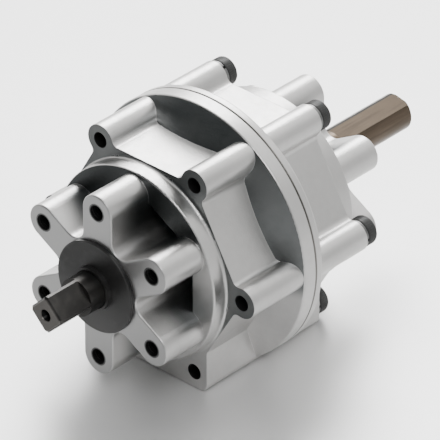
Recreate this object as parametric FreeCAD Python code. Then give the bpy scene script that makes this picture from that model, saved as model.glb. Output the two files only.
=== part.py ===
import FreeCAD, Part
import math
import os

from FreeCAD import Vector

# Rotary vane actuator with one vane and a shaft end at each side.
# Millimetres. The shaft runs along Y: the short square end points to -Y, the long round end to +Y.
# +Z is up. The origin is on the shaft axis, in the plane of the front mounting faces.

# Case: both ends are alike, but the joint lies a little nearer the rear
CASE_DEPTH = 131.0
JOINT_DEPTH = 67.5
BOLT_FACE_INSET = 30.0
REAR_BOLT_FACE_INSET = 30.8
DRUM_INSET = 22.4
DRUM_RADIUS = 44.3
DRUM_EDGE_ROUND = 0.8
DRUM_BASE_ROUND = 1.4
FLANGE_MARGIN = 7.5
FLANGE_RIM = 7.0
REAR_FLANGE_RIM = 3.7
FLANGE_RAKE = 0.45
FLANGE_EDGE_ROUND = 0.8
JOINT_EDGE_CHAMFER = 0.45

# Case bolt circle: a hexagon with a boss at 3 o'clock
BOLT_CIRCLE_MARGIN = 13.5
BOLT_BOSS_RADIUS = 7.0
BOLT_BOSS_FILLET = 3.0
BOLT_COUNT = 6

# Foot, flat and level under both halves
FOOT_MARGIN = 14.3
FOOT_HALF_WIDTH = 33.3
FOOT_SIDE_TOP = 30.0
FOOT_CORNER_ROUND = 4.0

# Mounting bosses on each end: a hexagon with a boss at 12 o'clock
MOUNT_CIRCLE_RADIUS = 35.0
MOUNT_BOSS_RADIUS = 8.0
MOUNT_BOSS_EDGE = 0.7
MOUNT_HOLE_RADIUS = 3.4
MOUNT_HOLE_DEPTH = 18.0
DRILL_POINT_SLOPE = 31.0
MOUNT_COUNT = 6
WEB_CORNER_ROUND = 5.5
POCKET_APOTHEM = 32.4
POCKET_DEPTH = 13.6

# Working chamber
CHAMBER_RADIUS = 39.0
CHAMBER_HALF_WIDTH = 18.5
RUN_GAP = 0.3

# Joint seal and dowels
O_RING_LAND = 2.2
O_RING_WIDTH = 2.8
O_RING_DEPTH = 2.0
O_RING_ROUND = 0.7
DOWEL_RADIUS = 2.5
DOWEL_LENGTH = 10.0
DOWEL_ANGLES = (30.0, 210.0)

# Shaft
SHAFT_RADIUS = 8.5
SHAFT_SEAT_RADIUS = 8.48
SHAFT_SHOULDER_RADIUS = 10.0
SHAFT_HUB_RADIUS = 16.0
SHORT_END_REACH = 30.5
SQUARE_LENGTH = 18.0
SQUARE_ACROSS_FLATS = 13.0
SQUARE_CORNER_ANGLE = 45.0
LONG_END_REACH = 57.5
SQUARE_EDGE_CHAMFER = 0.8
END_CHAMFER = 1.0
CENTRE_HOLE_RADIUS = 1.6
CENTRE_HOLE_DEPTH = 6.0
CENTRE_SINK = 1.2
CENTRE_SINK_DEPTH = 2.0
CENTRE_POINT_DEPTH = 1.0
FLAT_DEPTH = 1.6
FLAT_LENGTH = 43.0
FLAT_ANGLE = 78.0
RUNOUT_WIDTH = 1.5
RUNOUT_DEPTH = 0.3
BORE_CLEARANCE = 0.25
HUB_SIDE_GAP = 0.2

# Vane and its seal
VANE_THICKNESS = 10.0
VANE_EDGE_GAP = 1.0
VANE_GROOVE_WIDTH = 4.0
VANE_GROOVE_DEPTH = 2.5

# Shoe that fills the bottom of the chamber and stops the vane
SWING_HALF_ANGLE = 135.0
SHOE_HUB_GAP = 1.0
SHOE_GROOVE_DEPTH = 2.5
SHOE_GROOVE_WIDTH = 4.0
PAD_THICKNESS = 1.5
PAD_INNER_REACH = 19.5
PAD_OUTER_REACH = 27.0
PAD_WIDTH = 26.0
SHOE_PIN_RADIUS = 2.5
SHOE_PIN_OFFSET = 5.5
SHOE_PIN_LAND = 8.0
SHOE_PIN_SEAT = 5.0

# Air ports, in the foot of the front half
PORT_OFFSET = 13.0
PORT_INSET = 12.5
PORT_RADIUS = 4.35
PORT_DEPTH = 9.0
PASSAGE_RADIUS = 2.2
PASSAGE_REACH = 12.0
BRANCH_RADIUS = 1.8
BRANCH_REACH = 9.0

# Ball bearings, 17 x 35 x 10
BEARING_OUTER_RADIUS = 17.5
BEARING_WIDTH = 10.0
BEARING_INSET = 3.0
RACE_THICKNESS = 2.6
BALL_RADIUS = 2.3
BALL_CLEARANCE = 0.1
BALL_COUNT = 9
CAGE_THICKNESS = 2.0
CAGE_WIDTH = 6.4
RACE_EDGE_CHAMFER = 0.4

# Shaft seals, 20 x 30 x 7
SEAL_OUTER_RADIUS = 15.0
SEAL_WIDTH = 7.0
SEAL_BEARING_GAP = 1.0
SEAL_SKIN = 1.6
SEAL_LIP_GAP = 0.1
SEAL_LIP_SETBACK = 0.6
SEAL_LIP_RISE = 0.5
SEAL_HEEL_DEPTH = 3.2
GARTER_RADIUS = 0.6
GARTER_SETBACK = 1.9

# Dust cap on the front and retaining ring at the rear
CAP_RADIUS = 20.8
CAP_THICKNESS = 2.0
CAP_EDGE_ROUND = 0.5
CAP_SPIGOT_WALL = 1.8
CAP_LIP_WALL = 1.1
CAP_LIP_HEIGHT = 2.4
RING_THICKNESS = 1.5
RING_BAND = 2.6
RING_GROOVE_DEPTH = 0.9
RING_GAP_ANGLE = 46.0
RING_LUG_RADIUS = 2.4
RING_LUG_TURN = 4.0
RING_LUG_SINK = 0.6
RING_LUG_HOLE_RADIUS = 1.0
RING_SIDE_PLAY = 0.05

# Case bolts and spring washers, M8
BOLT_RADIUS = 4.0
BOLT_LENGTH = 60.0
BOLT_HEAD_RADIUS = 6.5
BOLT_HEAD_HEIGHT = 5.0
BOLT_HEAD_ROUND = 0.6
BOLT_SOCKET_FLATS = 5.0
BOLT_SOCKET_DEPTH = 2.8
BOLT_HOLE_CLEARANCE = 0.5
THREAD_CLEARANCE = 0.05
TAPPING_RADIUS = 3.4
THREAD_END_INSET = 7.0
WASHER_RADIUS = 6.3
WASHER_THICKNESS = 2.0
WASHER_CUT = 1.2
WASHER_CUT_LEAN = 30.0
WASHER_SEAT_RADIUS = 6.7
WASHER_SEAT_HEIGHT = 4.0

# Sizes that follow
O_RING_INNER_RADIUS = CHAMBER_RADIUS + O_RING_LAND
BOLT_CIRCLE_RADIUS = CHAMBER_RADIUS + BOLT_CIRCLE_MARGIN
FLANGE_RADIUS = BOLT_CIRCLE_RADIUS + FLANGE_MARGIN
FOOT_DROP = CHAMBER_RADIUS + FOOT_MARGIN
SHOE_PIN_DROP = CHAMBER_RADIUS - SHOE_PIN_LAND
PASSAGE_TOP = CHAMBER_RADIUS - PASSAGE_REACH
BRANCH_DROP = CHAMBER_RADIUS - BRANCH_REACH
JOINT_Y = JOINT_DEPTH
MIDDLE_Y = 0.5 * CASE_DEPTH
REAR_FACE_Y = CASE_DEPTH
REAR_SEAT_Y = REAR_FACE_Y - REAR_BOLT_FACE_INSET
CHAMBER_FRONT_Y = MIDDLE_Y - CHAMBER_HALF_WIDTH
CHAMBER_REAR_Y = MIDDLE_Y + CHAMBER_HALF_WIDTH
PORT_Y = MIDDLE_Y - PORT_INSET
BEARING_END = BEARING_INSET + BEARING_WIDTH
SEAL_START = BEARING_END + SEAL_BEARING_GAP
SEAL_END = SEAL_START + SEAL_WIDTH
SHAFT_FRONT_Y = -SHORT_END_REACH
SHAFT_REAR_Y = REAR_FACE_Y + LONG_END_REACH
BALL_TRACK_RADIUS = 0.5 * (SHAFT_RADIUS + BEARING_OUTER_RADIUS)
SHOE_SIDE_OFFSET = 0.5 * VANE_THICKNESS + RUN_GAP + PAD_THICKNESS
SHOE_SIDE_ANGLE = SWING_HALF_ANGLE - 90.0
SEAL_LIP_RADIUS = SHAFT_SHOULDER_RADIUS + SEAL_LIP_GAP
SHOE_INNER_RADIUS = SHAFT_HUB_RADIUS + SHOE_HUB_GAP
VANE_TIP_RADIUS = CHAMBER_RADIUS - VANE_EDGE_GAP

AXIS = Vector(0, 1, 0)
CENTRE = Vector(0, 0, 0)
MIDDLE_POINT = Vector(0, MIDDLE_Y, 0)


def around(angle, radius, y=0.0):
    """Point at a clock angle round the shaft: 0 is +X and 90 is up."""
    turn = math.radians(angle)
    return Vector(radius * math.cos(turn), y, radius * math.sin(turn))


def evenly(count, first=0.0):
    """Angles of a pattern of evenly spaced copies."""
    return [first + 360.0 * index / count for index in range(count)]


def rod(radius, y_from, y_to, x=0.0, z=0.0):
    """Cylinder along the shaft's direction."""
    return Part.makeCylinder(radius, y_to - y_from, Vector(x, y_from, z), AXIS)


def rod_at(point, radius, y_from, y_to):
    """Cylinder along the shaft's direction through a point."""
    return rod(radius, y_from, y_to, point.x, point.z)


def tube(outer, inner, y_from, y_to):
    """Plain ring about the shaft."""
    return rod(outer, y_from, y_to).cut(rod(inner, y_from - 1.0, y_to + 1.0))


def prism(points, y_from, y_to):
    """Straight-sided outline, given as points in the XZ plane, pushed along Y."""
    corners = [Vector(point.x, y_from, point.z) for point in points]
    face = Part.Face(Part.makePolygon(corners + [corners[0]]))
    return face.extrude(Vector(0, y_to - y_from, 0))


def hexagon(apothem, y_from, y_to, first=30.0):
    """Hexagonal bar along Y; first is the clock angle of its first corner."""
    reach = apothem / math.cos(math.radians(30.0))
    return prism([around(angle, reach) for angle in evenly(6, first)], y_from, y_to)


def turned(edges):
    """Solid turned about the shaft from edges drawn in the XY plane."""
    wire = Part.Wire(edges)
    return Part.Face(wire).revolve(CENTRE, AXIS, 360)


def turned_polygon(points):
    """Solid turned about the shaft from (radius, y) corners."""
    corners = [Vector(radius, y, 0) for radius, y in points]
    face = Part.Face(Part.makePolygon(corners + [corners[0]]))
    return face.revolve(CENTRE, AXIS, 360)


def ring_of_wire(track_radius, wire_radius, y):
    """Torus about the shaft."""
    return Part.makeTorus(track_radius, wire_radius, Vector(0, y, 0), AXIS)


def edges_along_y(shape, spots):
    """Edges parallel to Y that stand on the given points of the XZ plane."""
    found = []
    for edge in shape.Edges:
        if len(edge.Vertexes) != 2:
            continue
        ends = [vertex.Point for vertex in edge.Vertexes]
        for spot in spots:
            if all(math.hypot(end.x - spot.x, end.z - spot.z) < 0.01 for end in ends):
                found.append(edge)
                break
    return found


def edges_in_plane(shape, y):
    """Edges that lie wholly in one plane across the shaft."""
    return [edge for edge in shape.Edges
            if abs(edge.BoundBox.YMin - y) < 1e-4 and abs(edge.BoundBox.YMax - y) < 1e-4]


def mirrored(shape):
    """The same shape at the other end of the case."""
    return shape.mirror(MIDDLE_POINT, AXIS)


def one_solid(shape):
    """The single solid of a shape, with faces that share a surface joined."""
    return shape.removeSplitter().Solids[0]


def save(name, *solids):
    """Write one node: a solid, or a group of separate solids."""
    shape = solids[0] if len(solids) == 1 else Part.makeCompound(list(solids))
    shape.exportStep("parts/" + name + ".step")


def wall_outline(y_from, y_to):
    """Outline of the case walls: bosses at the corners of a hexagon, and the squared foot."""
    apothem = BOLT_CIRCLE_RADIUS * math.cos(math.radians(30.0))
    bar = hexagon(apothem, y_from, y_to, 0.0)
    spots = []
    for angle in evenly(BOLT_COUNT):
        corner = around(angle, BOLT_CIRCLE_RADIUS)
        bar = bar.fuse(rod_at(corner, BOLT_BOSS_RADIUS, y_from, y_to))
        for neighbour in (angle - 60.0, angle + 60.0):
            along = around(neighbour, BOLT_CIRCLE_RADIUS) - corner
            along.normalize()
            spots.append(corner + along * BOLT_BOSS_RADIUS)
    foot = prism([Vector(-FOOT_HALF_WIDTH, 0, -FOOT_SIDE_TOP), Vector(FOOT_HALF_WIDTH, 0, -FOOT_SIDE_TOP),
                  Vector(FOOT_HALF_WIDTH, 0, -FOOT_DROP), Vector(-FOOT_HALF_WIDTH, 0, -FOOT_DROP)],
                 y_from, y_to)
    corners = [Vector(side * FOOT_HALF_WIDTH, 0, -FOOT_DROP) for side in (-1, 1)]
    foot = foot.makeFillet(FOOT_CORNER_ROUND, edges_along_y(foot, corners))
    bar = bar.fuse(foot).removeSplitter()
    return bar.makeFillet(BOLT_BOSS_FILLET, edges_along_y(bar, spots))


def drum_and_walls(face, depth):
    """Round front drum with a soft edge, flaring into the bolt faces, cut to the wall outline."""
    reach = FLANGE_RADIUS + FOOT_DROP
    front = DRUM_INSET
    edge = DRUM_EDGE_ROUND
    base = DRUM_BASE_ROUND
    slant = math.sqrt(0.5)
    edge_mid = Vector(DRUM_RADIUS - edge + edge * slant, front + edge - edge * slant, 0)
    base_mid = Vector(DRUM_RADIUS + base - base * slant, face - base + base * slant, 0)
    start = Vector(0, front, 0)
    edge_from = Vector(DRUM_RADIUS - edge, front, 0)
    edge_to = Vector(DRUM_RADIUS, front + edge, 0)
    base_from = Vector(DRUM_RADIUS, face - base, 0)
    base_to = Vector(DRUM_RADIUS + base, face, 0)
    outer = Vector(reach, face, 0)
    outer_end = Vector(reach, depth, 0)
    end = Vector(0, depth, 0)
    profile = [Part.makeLine(start, edge_from), Part.Arc(edge_from, edge_mid, edge_to).toShape(),
               Part.makeLine(edge_to, base_from), Part.Arc(base_from, base_mid, base_to).toShape(),
               Part.makeLine(base_to, outer), Part.makeLine(outer, outer_end),
               Part.makeLine(outer_end, end), Part.makeLine(end, start)]
    return turned(profile).common(wall_outline(front - 1.0, depth))


def flange(rim, depth):
    """Round joint flange with a raked front and a broken joint edge, cut level with the foot."""
    rim_y = depth - rim
    root_radius = CHAMBER_RADIUS
    root_y = rim_y - FLANGE_RAKE * (FLANGE_RADIUS - root_radius)
    disc = turned_polygon([(0, root_y), (root_radius, root_y), (FLANGE_RADIUS, rim_y),
                           (FLANGE_RADIUS, depth - JOINT_EDGE_CHAMFER),
                           (FLANGE_RADIUS - JOINT_EDGE_CHAMFER, depth), (0, depth)])
    disc = disc.makeFillet(FLANGE_EDGE_ROUND, edges_in_plane(disc, rim_y))
    below = Part.makeBox(4 * FLANGE_RADIUS, CASE_DEPTH, FLANGE_RADIUS,
                         Vector(-2 * FLANGE_RADIUS, 0, -FOOT_DROP - FLANGE_RADIUS))
    return disc.cut(below)


def mount_star(y_from, y_to):
    """Hub made by six webs that meet in wide rounded corners, each ending in a round mounting boss."""
    star = None
    for angle in evenly(MOUNT_COUNT, 30.0):
        centre = around(angle, MOUNT_CIRCLE_RADIUS)
        left = around(angle + 90.0, MOUNT_BOSS_RADIUS)
        right = around(angle - 90.0, MOUNT_BOSS_RADIUS)
        web = prism([right, centre + right, centre + left, left], y_from, y_to)
        web = web.fuse(rod_at(centre, MOUNT_BOSS_RADIUS, y_from, y_to))
        star = web if star is None else star.fuse(web)
    star = star.removeSplitter()
    notch = MOUNT_BOSS_RADIUS / math.sin(math.radians(180.0 / MOUNT_COUNT))
    spots = [around(angle, notch) for angle in evenly(MOUNT_COUNT)]
    return star.makeFillet(WEB_CORNER_ROUND, edges_along_y(star, spots))


def mount_hole():
    """Tapped blind hole at the middle of the pattern, with its drill point."""
    point = MOUNT_HOLE_DEPTH + MOUNT_HOLE_RADIUS * math.tan(math.radians(DRILL_POINT_SLOPE))
    return turned_polygon([(0, -1.0), (MOUNT_HOLE_RADIUS, -1.0), (MOUNT_HOLE_RADIUS, MOUNT_HOLE_DEPTH),
                           (0, point)])


def case_blank(face, rim, depth):
    """What both halves share, as the front half: walls, drum, flange, star, pockets and bores.

    Takes how far the bolt faces and the joint lie from the mounting faces, and the flange's thickness.
    """
    floor = DRUM_INSET + POCKET_DEPTH
    star = mount_star(0.0, floor)
    pockets = hexagon(POCKET_APOTHEM, DRUM_INSET - 1.0, floor, 30.0).cut(star)
    soft_star = star.makeFillet(MOUNT_BOSS_EDGE, edges_in_plane(star, 0.0))
    body = drum_and_walls(face, depth).fuse(flange(rim, depth)).cut(pockets).fuse(soft_star).removeSplitter()
    hole = mount_hole()
    for angle in evenly(MOUNT_COUNT, 30.0):
        drilled = hole.copy()
        drilled.translate(around(angle, MOUNT_CIRCLE_RADIUS))
        body = body.cut(drilled)
    bore = SHAFT_SHOULDER_RADIUS + BORE_CLEARANCE
    body = body.cut(turned_polygon([(0, -1.0), (BEARING_OUTER_RADIUS, -1.0),
                                    (BEARING_OUTER_RADIUS, BEARING_END), (SEAL_OUTER_RADIUS, BEARING_END),
                                    (SEAL_OUTER_RADIUS, SEAL_END), (bore, SEAL_END),
                                    (bore, CHAMBER_FRONT_Y), (CHAMBER_RADIUS, CHAMBER_FRONT_Y),
                                    (CHAMBER_RADIUS, depth + 1.0), (0, depth + 1.0)]))
    for side in (-1, 1):
        body = body.cut(rod(SHOE_PIN_RADIUS, CHAMBER_FRONT_Y - SHOE_PIN_SEAT, CHAMBER_FRONT_Y + 1.0,
                            side * SHOE_PIN_OFFSET, -SHOE_PIN_DROP))
    for angle in DOWEL_ANGLES:
        body = body.cut(rod_at(around(angle, BOLT_CIRCLE_RADIUS), DOWEL_RADIUS,
                               depth - 0.5 * DOWEL_LENGTH, depth + 1.0))
    return body


def front_case():
    """Front half: tapped bolt holes, the joint ring's groove and the two air ports."""
    body = case_blank(BOLT_FACE_INSET, FLANGE_RIM, JOINT_Y)
    thread_end = BOLT_FACE_INSET + THREAD_END_INSET
    for angle in evenly(BOLT_COUNT):
        spot = around(angle, BOLT_CIRCLE_RADIUS)
        body = body.cut(rod_at(spot, TAPPING_RADIUS, BOLT_FACE_INSET - 1.0, thread_end + 1.0))
        body = body.cut(rod_at(spot, BOLT_RADIUS + THREAD_CLEARANCE, thread_end, JOINT_Y + 1.0))
    groove = tube(O_RING_INNER_RADIUS + O_RING_WIDTH, O_RING_INNER_RADIUS,
                  JOINT_Y - O_RING_DEPTH, JOINT_Y + 1.0)
    body = body.cut(groove)
    for side in (-1, 1):
        mouth = Vector(side * PORT_OFFSET, PORT_Y, -FOOT_DROP)
        body = body.cut(Part.makeCylinder(PORT_RADIUS, PORT_DEPTH, mouth))
        body = body.cut(Part.makeCylinder(PASSAGE_RADIUS, FOOT_DROP - PASSAGE_TOP, mouth))
    return one_solid(body)


def rear_case():
    """Rear half: clearance holes and faced seats for the bolts, and the retaining ring's groove."""
    body = mirrored(case_blank(REAR_BOLT_FACE_INSET, REAR_FLANGE_RIM, CASE_DEPTH - JOINT_Y))
    seat = REAR_SEAT_Y
    for angle in evenly(BOLT_COUNT):
        spot = around(angle, BOLT_CIRCLE_RADIUS)
        body = body.cut(rod_at(spot, BOLT_RADIUS + BOLT_HOLE_CLEARANCE, JOINT_Y - 1.0, REAR_FACE_Y))
        body = body.cut(rod_at(spot, WASHER_SEAT_RADIUS, seat, seat + WASHER_SEAT_HEIGHT))
    ring_from = REAR_FACE_Y - BEARING_INSET
    body = body.cut(tube(BEARING_OUTER_RADIUS + RING_GROOVE_DEPTH, BEARING_OUTER_RADIUS - 1.0,
                         ring_from, ring_from + RING_THICKNESS + RING_SIDE_PLAY))
    return one_solid(body)


def centre_hole(y_end, direction):
    """Centre drilling in the end of a shaft, opening towards the given side along Y."""
    sink = CENTRE_HOLE_RADIUS + CENTRE_SINK
    steps = [(0, -0.01), (sink, -0.01), (CENTRE_HOLE_RADIUS, CENTRE_SINK_DEPTH),
             (CENTRE_HOLE_RADIUS, CENTRE_HOLE_DEPTH), (0, CENTRE_HOLE_DEPTH + CENTRE_POINT_DEPTH)]
    return turned_polygon([(radius, y_end - direction * depth) for radius, depth in steps])


def vane_shaft():
    """Steel shaft with its hub and vane: square drive in front, long round end with a flat behind."""
    hub_from = CHAMBER_FRONT_Y + HUB_SIDE_GAP
    hub_to = CHAMBER_REAR_Y - HUB_SIDE_GAP
    shoulder_from = BEARING_END
    shoulder_to = REAR_FACE_Y - BEARING_END
    seat_from = SHAFT_REAR_Y - FLAT_LENGTH
    nose = SHAFT_RADIUS - END_CHAMFER
    seat_nose = SHAFT_SEAT_RADIUS - END_CHAMFER
    runout = SHAFT_RADIUS - RUNOUT_DEPTH
    shaft = turned_polygon([(0, SHAFT_FRONT_Y), (nose, SHAFT_FRONT_Y),
                            (SHAFT_RADIUS, SHAFT_FRONT_Y + END_CHAMFER), (SHAFT_RADIUS, shoulder_from),
                            (SHAFT_SHOULDER_RADIUS, shoulder_from), (SHAFT_SHOULDER_RADIUS, hub_from),
                            (SHAFT_HUB_RADIUS, hub_from), (SHAFT_HUB_RADIUS, hub_to),
                            (SHAFT_SHOULDER_RADIUS, hub_to), (SHAFT_SHOULDER_RADIUS, shoulder_to),
                            (SHAFT_RADIUS, shoulder_to), (SHAFT_RADIUS, seat_from - RUNOUT_WIDTH),
                            (runout, seat_from - RUNOUT_WIDTH), (runout, seat_from),
                            (SHAFT_SEAT_RADIUS, seat_from), (SHAFT_SEAT_RADIUS, SHAFT_REAR_Y - END_CHAMFER),
                            (seat_nose, SHAFT_REAR_Y), (0, SHAFT_REAR_Y)])
    shaft = shaft.fuse(vane_plate()).removeSplitter()
    square_to = SHAFT_FRONT_Y + SQUARE_LENGTH
    waste = rod(2 * SHAFT_RADIUS, SHAFT_FRONT_Y - 1.0, square_to)
    square = Part.makeBox(SQUARE_ACROSS_FLATS, 2 * SQUARE_LENGTH, SQUARE_ACROSS_FLATS,
                          Vector(-0.5 * SQUARE_ACROSS_FLATS, SHAFT_FRONT_Y, -0.5 * SQUARE_ACROSS_FLATS))
    square = square.makeChamfer(SQUARE_EDGE_CHAMFER, edges_in_plane(square, SHAFT_FRONT_Y))
    square.rotate(CENTRE, AXIS, SQUARE_CORNER_ANGLE)
    shaft = shaft.cut(waste.cut(square))
    flat = Part.makeBox(FLAT_LENGTH + 1.0, 2 * SHAFT_RADIUS, SHAFT_RADIUS,
                        Vector(SHAFT_REAR_Y - FLAT_LENGTH, -SHAFT_RADIUS, SHAFT_RADIUS - FLAT_DEPTH))
    flat.rotate(CENTRE, Vector(0, 0, 1), 90.0)
    flat.rotate(CENTRE, AXIS, 90.0 - FLAT_ANGLE)
    shaft = shaft.cut(flat)
    shaft = shaft.cut(centre_hole(SHAFT_FRONT_Y, -1)).cut(centre_hole(SHAFT_REAR_Y, 1))
    return one_solid(shaft)


def vane_frame(tip_radius, y_gap, half_thickness):
    """Plate that stands up from the hub to a round tip, clear of the chamber by the given gap."""
    y_from = CHAMBER_FRONT_Y + y_gap
    y_to = CHAMBER_REAR_Y - y_gap
    slab = Part.makeBox(2 * half_thickness, y_to - y_from, CHAMBER_RADIUS, Vector(-half_thickness, y_from, 0))
    return slab.common(rod(tip_radius, y_from, y_to))


def vane_plate():
    """Vane with a groove for its seal round the three free edges."""
    plate = vane_frame(VANE_TIP_RADIUS, VANE_EDGE_GAP, 0.5 * VANE_THICKNESS)
    return plate.cut(vane_seal_band(VANE_TIP_RADIUS, VANE_EDGE_GAP))


def vane_seal_band(tip_radius, y_gap):
    """Band round the three free edges of the vane, from the groove's floor out to the given reach."""
    half_width = 0.5 * VANE_GROOVE_WIDTH
    core_gap = VANE_EDGE_GAP + VANE_GROOVE_DEPTH
    band = vane_frame(tip_radius, y_gap, half_width)
    core = vane_frame(VANE_TIP_RADIUS - VANE_GROOVE_DEPTH, core_gap, 2 * half_width)
    below_hub = rod(SHAFT_HUB_RADIUS, CHAMBER_FRONT_Y, CHAMBER_REAR_Y)
    return band.cut(core).cut(below_hub)


def shoe_profile(outer_radius, inner_radius, y_from, y_to):
    """Block between the vane's two end positions, under the hub."""
    reach = 3.0 * CHAMBER_RADIUS
    apex = -SHOE_SIDE_OFFSET / math.sin(math.radians(SHOE_SIDE_ANGLE))
    half_span = (reach + apex) * math.tan(math.radians(SHOE_SIDE_ANGLE))
    wedge = prism([Vector(0, 0, apex), Vector(half_span, 0, -reach), Vector(-half_span, 0, -reach)],
                  y_from, y_to)
    return wedge.common(tube(outer_radius, inner_radius, y_from, y_to))


def shoe():
    """Shoe with pin holes, a groove for its seal under the hub, and the two air passages."""
    block = shoe_profile(CHAMBER_RADIUS, SHOE_INNER_RADIUS, CHAMBER_FRONT_Y, CHAMBER_REAR_Y)
    block = block.cut(shoe_seal_bar(SHOE_INNER_RADIUS))
    for side in (-1, 1):
        block = block.cut(rod(SHOE_PIN_RADIUS, CHAMBER_FRONT_Y - 1.0, CHAMBER_REAR_Y + 1.0,
                              side * SHOE_PIN_OFFSET, -SHOE_PIN_DROP))
        foot_point = Vector(side * PORT_OFFSET, PORT_Y, -CHAMBER_RADIUS)
        riser = Part.makeCylinder(PASSAGE_RADIUS, CHAMBER_RADIUS - PASSAGE_TOP, foot_point)
        turn_point = Vector(side * PORT_OFFSET, PORT_Y, -BRANCH_DROP)
        branch = Part.makeCylinder(BRANCH_RADIUS, CHAMBER_RADIUS, turn_point, Vector(side, 0, 0))
        block = block.cut(riser).cut(branch)
    return one_solid(block)


def shoe_seal_bar(inner_radius):
    """Bar across the top of the shoe, facing the turning hub."""
    bottom = SHOE_INNER_RADIUS + SHOE_GROOVE_DEPTH
    bar = Part.makeBox(SHOE_GROOVE_WIDTH, CHAMBER_REAR_Y - CHAMBER_FRONT_Y, SHOE_INNER_RADIUS,
                       Vector(-0.5 * SHOE_GROOVE_WIDTH, CHAMBER_FRONT_Y, -bottom))
    return bar.cut(rod(inner_radius, CHAMBER_FRONT_Y - 1.0, CHAMBER_REAR_Y + 1.0)).Solids[0]


def stop_pads():
    """Soft pads on both sides of the shoe, which the vane meets at each end of its swing."""
    pads = []
    for side in (-1, 1):
        pad = Part.makeBox(PAD_THICKNESS, PAD_WIDTH, PAD_OUTER_REACH - PAD_INNER_REACH,
                           Vector(SHOE_SIDE_OFFSET - PAD_THICKNESS, MIDDLE_Y - 0.5 * PAD_WIDTH, PAD_INNER_REACH))
        pad.rotate(CENTRE, AXIS, SWING_HALF_ANGLE)
        if side < 0:
            pad = pad.mirror(CENTRE, Vector(1, 0, 0))
        pads.append(pad)
    return pads


def ball_race(inner_radius, outer_radius, y_from):
    """Bearing ring with the ball groove, its edges chamfered."""
    y_to = y_from + BEARING_WIDTH
    edge = RACE_EDGE_CHAMFER
    race = turned_polygon([(inner_radius, y_from + edge), (inner_radius + edge, y_from),
                           (outer_radius - edge, y_from), (outer_radius, y_from + edge),
                           (outer_radius, y_to - edge), (outer_radius - edge, y_to),
                           (inner_radius + edge, y_to), (inner_radius, y_to - edge)])
    middle = 0.5 * (y_from + y_to)
    groove = ring_of_wire(BALL_TRACK_RADIUS, BALL_RADIUS + BALL_CLEARANCE, middle)
    return one_solid(race.cut(groove))


def bearing_balls(y_middle):
    """Balls evenly spaced round the track."""
    balls = []
    for angle in evenly(BALL_COUNT, 90.0):
        balls.append(Part.makeSphere(BALL_RADIUS, around(angle, BALL_TRACK_RADIUS, y_middle)))
    return balls


def bearing_cage(y_middle):
    """Ring between the races with a round pocket for each ball."""
    half = 0.5 * CAGE_THICKNESS
    cage = tube(BALL_TRACK_RADIUS + half, BALL_TRACK_RADIUS - half,
                y_middle - 0.5 * CAGE_WIDTH, y_middle + 0.5 * CAGE_WIDTH)
    for angle in evenly(BALL_COUNT, 90.0):
        outward = around(angle, 1.0)
        start = around(angle, BALL_TRACK_RADIUS - CAGE_THICKNESS, y_middle)
        cage = cage.cut(Part.makeCylinder(BALL_RADIUS + BALL_CLEARANCE, 2 * CAGE_THICKNESS, start, outward))
    return one_solid(cage)


def garter_track():
    """Radius of the circle on which the garter spring lies, on the back of the seal's lip."""
    return SEAL_LIP_RADIUS + SEAL_SKIN + GARTER_RADIUS


def shaft_seal():
    """Front lip seal: a skin on the bore, a flat back and a lip that leans in to the shaft."""
    skin = SEAL_SKIN
    lip = SEAL_LIP_RADIUS
    heel = lip + skin
    lip_end = SEAL_END - SEAL_LIP_SETBACK
    body = turned_polygon([(SEAL_OUTER_RADIUS, SEAL_START), (SEAL_OUTER_RADIUS, SEAL_END),
                           (SEAL_OUTER_RADIUS - skin, SEAL_END), (SEAL_OUTER_RADIUS - skin, SEAL_START + skin),
                           (heel + skin, SEAL_START + skin), (heel, SEAL_END - SEAL_HEEL_DEPTH),
                           (heel + SEAL_LIP_RISE, lip_end), (lip + SEAL_LIP_RISE, lip_end),
                           (lip, SEAL_END - skin), (lip + SEAL_LIP_RISE, SEAL_START)])
    return one_solid(body.cut(ring_of_wire(garter_track(), GARTER_RADIUS, SEAL_END - GARTER_SETBACK)))


def garter_spring():
    """Coiled ring that presses the front seal's lip, as one closed ring."""
    return ring_of_wire(garter_track(), GARTER_RADIUS, SEAL_END - GARTER_SETBACK)


def front_cap():
    """Dust cap pressed into the bearing bore, with a wide flat rim and a lip round the shaft."""
    bore = SHAFT_RADIUS + BORE_CLEARANCE
    lip = bore + CAP_LIP_WALL
    lip_y = -CAP_THICKNESS - CAP_LIP_HEIGHT
    disc = turned_polygon([(bore, lip_y), (lip, lip_y), (lip, -CAP_THICKNESS),
                           (CAP_RADIUS, -CAP_THICKNESS), (CAP_RADIUS, 0.0),
                           (BEARING_OUTER_RADIUS, 0.0), (BEARING_OUTER_RADIUS, BEARING_INSET),
                           (BEARING_OUTER_RADIUS - CAP_SPIGOT_WALL, BEARING_INSET),
                           (BEARING_OUTER_RADIUS - CAP_SPIGOT_WALL, 0.0), (bore, 0.0)])
    rim = [edge for edge in edges_in_plane(disc, -CAP_THICKNESS)
           if edge.BoundBox.XMax > 0.5 * (bore + CAP_RADIUS)]
    return one_solid(disc.makeFillet(CAP_EDGE_ROUND, rim))


def retaining_ring():
    """Open spring ring in the rear bearing bore, with a lug and hole at each end of its gap."""
    y_from = REAR_FACE_Y - BEARING_INSET
    y_to = y_from + RING_THICKNESS
    outer = BEARING_OUTER_RADIUS + RING_GROOVE_DEPTH
    inner = outer - RING_BAND
    half_gap = 0.5 * RING_GAP_ANGLE
    gap = prism([CENTRE, around(270.0 + half_gap, 2 * outer), around(270.0 - half_gap, 2 * outer)],
                y_from - 1.0, y_to + 1.0)
    ring = tube(outer, inner, y_from, y_to).cut(gap)
    for side in (-1, 1):
        spot = around(270.0 + side * (half_gap + RING_LUG_TURN), inner - RING_LUG_SINK)
        ring = ring.fuse(rod_at(spot, RING_LUG_RADIUS, y_from, y_to))
        ring = ring.cut(rod_at(spot, RING_LUG_HOLE_RADIUS, y_from - 1.0, y_to + 1.0))
    return one_solid(ring)


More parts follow.
